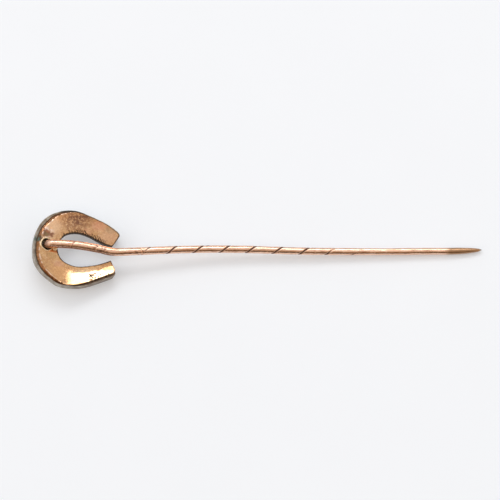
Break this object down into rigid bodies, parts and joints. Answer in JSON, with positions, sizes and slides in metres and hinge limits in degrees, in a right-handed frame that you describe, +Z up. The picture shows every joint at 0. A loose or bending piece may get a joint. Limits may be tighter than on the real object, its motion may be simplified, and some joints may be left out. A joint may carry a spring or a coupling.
{
  "type": "stick pin",
  "caption": "Horseshoe-headed stick pin, face down: silver setting, gold back plate and bent gold wire stem with a spiral groove and a tapered point.",
  "frame": {"origin": "middle of the whole pin's footprint, on the surface that it lies on", "axes": "+X along the pin towards its point, +Y to the left of that, +Z up; the head lies at -X, face down"},
  "size_m": [0.0658, 0.0114, 0.0048],
  "materials": {
    "silver": "worn, tarnished silver",
    "gold_plate": "worn low-carat rose gold, scratched and stained",
    "gold_wire": "polished low-carat rose gold wire"
  },
  "bodies": {
    "root": {"silver_setting": "silver", "back_plate": "gold_plate", "pin_stem": "gold_wire"}
  },
  "joints": []
}
